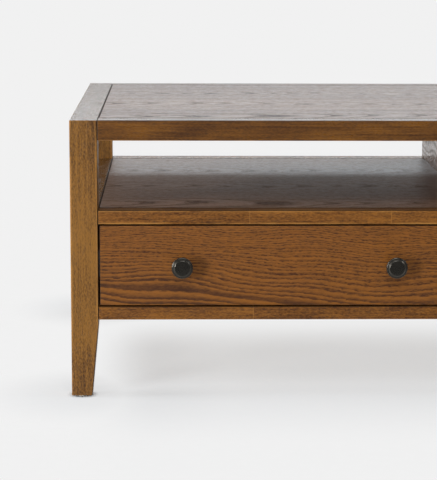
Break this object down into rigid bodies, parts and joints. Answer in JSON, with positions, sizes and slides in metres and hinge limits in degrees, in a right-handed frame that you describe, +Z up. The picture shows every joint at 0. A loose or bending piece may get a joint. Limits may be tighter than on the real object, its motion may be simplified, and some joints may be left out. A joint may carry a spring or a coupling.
{
  "type": "coffee table",
  "caption": "Low rectangular coffee table with an open divided shelf, inset drawers on telescopic runners, round knobs and tapered legs.",
  "frame": {"origin": "on the floor under the middle of the table's outline, knobs included", "axes": "+X to the right along the table's length, -Y out of the drawer fronts, +Z up"},
  "size_m": [1.37, 0.738, 0.46],
  "materials": {
    "frame_wood": "satin lacquer",
    "panel_veneer": "satin lacquer",
    "drawer_veneer": "satin lacquer",
    "drawer_box_wood": "clear lacquer",
    "plain_wood": "sanded",
    "dowel_wood": "sanded",
    "knob_metal": "dark bronze, satin",
    "runner_steel": "zinc plated",
    "screw_steel": "zinc plated",
    "glide_plastic": "moulded"
  },
  "bodies": {
    "carcass": {"back_panel": "panel_veneer", "bottom_back_rail": "frame_wood", "bottom_board": "plain_wood", "bottom_board_screws": "screw_steel", "bottom_front_rail": "frame_wood", "centre_partition": "panel_veneer", "centre_stile": "frame_wood", "end_bottom_rail_left": "frame_wood", "end_bottom_rail_right": "frame_wood", "end_panel_left": "panel_veneer", "end_panel_right": "panel_veneer", "end_shelf_rail_left": "frame_wood", "end_shelf_rail_right": "frame_wood", "end_top_rail_left": "frame_wood", "end_top_rail_right": "frame_wood", "foot_glides": "glide_plastic", "frame_dowels": "dowel_wood", "leg_front_left": "frame_wood", "leg_front_right": "frame_wood", "leg_rear_left": "frame_wood", "leg_rear_right": "frame_wood", "runner_batten_left": "plain_wood", "runner_batten_right": "plain_wood", "runner_case_screws": "screw_steel", "runner_outer_members": "runner_steel", "shelf_back_lip": "frame_wood", "shelf_divider": "panel_veneer", "shelf_front_lip": "frame_wood", "shelf_panel": "panel_veneer", "top_back_rail": "frame_wood", "top_front_rail": "frame_wood", "top_panel": "panel_veneer"},
    "left_drawer": {"left_drawer_back": "drawer_box_wood", "left_drawer_bottom": "drawer_box_wood", "left_drawer_box_front": "drawer_box_wood", "left_drawer_front": "drawer_veneer", "left_drawer_front_screws": "screw_steel", "left_drawer_inner_side": "drawer_box_wood", "left_drawer_knob_screws": "screw_steel", "left_drawer_knobs": "knob_metal", "left_drawer_outer_side": "drawer_box_wood", "left_runner_inner": "runner_steel", "left_runner_drawer_screws": "screw_steel"},
    "left_runner_middle": {"left_runner_middle": "runner_steel"},
    "left_outer_ball_cages": {"left_outer_ball_cages": "runner_steel"},
    "left_inner_ball_cages": {"left_inner_ball_cages": "runner_steel"},
    "right_drawer": {"right_drawer_back": "drawer_box_wood", "right_drawer_bottom": "drawer_box_wood", "right_drawer_box_front": "drawer_box_wood", "right_drawer_front": "drawer_veneer", "right_drawer_front_screws": "screw_steel", "right_drawer_inner_side": "drawer_box_wood", "right_drawer_knob_screws": "screw_steel", "right_drawer_knobs": "knob_metal", "right_drawer_outer_side": "drawer_box_wood", "right_runner_inner": "runner_steel", "right_runner_drawer_screws": "screw_steel"},
    "right_runner_middle": {"right_runner_middle": "runner_steel"},
    "right_outer_ball_cages": {"right_outer_ball_cages": "runner_steel"},
    "right_inner_ball_cages": {"right_inner_ball_cages": "runner_steel"}
  },
  "joints": [
    {"name": "left_drawer_slide", "type": "slide", "parent": "carcass", "child": "left_drawer", "axis": [0, -1, 0], "range_m": [0, 0.55]},
    {"name": "left_runner_middle_slide", "type": "slide", "parent": "carcass", "child": "left_runner_middle", "axis": [0, -1, 0], "range_m": [0, 0.275]},
    {"name": "left_outer_cage_slide", "type": "slide", "parent": "carcass", "child": "left_outer_ball_cages", "axis": [0, -1, 0], "range_m": [0, 0.1375]},
    {"name": "left_inner_cage_slide", "type": "slide", "parent": "carcass", "child": "left_inner_ball_cages", "axis": [0, -1, 0], "range_m": [0, 0.4125]},
    {"name": "right_drawer_slide", "type": "slide", "parent": "carcass", "child": "right_drawer", "axis": [0, -1, 0], "range_m": [0, 0.55]},
    {"name": "right_runner_middle_slide", "type": "slide", "parent": "carcass", "child": "right_runner_middle", "axis": [0, -1, 0], "range_m": [0, 0.275]},
    {"name": "right_outer_cage_slide", "type": "slide", "parent": "carcass", "child": "right_outer_ball_cages", "axis": [0, -1, 0], "range_m": [0, 0.1375]},
    {"name": "right_inner_cage_slide", "type": "slide", "parent": "carcass", "child": "right_inner_ball_cages", "axis": [0, -1, 0], "range_m": [0, 0.4125]}
  ],
  "couplings": [
    {"joint": "left_runner_middle_slide", "follows": "left_drawer_slide", "ratio": 0.5},
    {"joint": "left_outer_cage_slide", "follows": "left_drawer_slide", "ratio": 0.25},
    {"joint": "left_inner_cage_slide", "follows": "left_drawer_slide", "ratio": 0.75},
    {"joint": "right_runner_middle_slide", "follows": "right_drawer_slide", "ratio": 0.5},
    {"joint": "right_outer_cage_slide", "follows": "right_drawer_slide", "ratio": 0.25},
    {"joint": "right_inner_cage_slide", "follows": "right_drawer_slide", "ratio": 0.75}
  ]
}
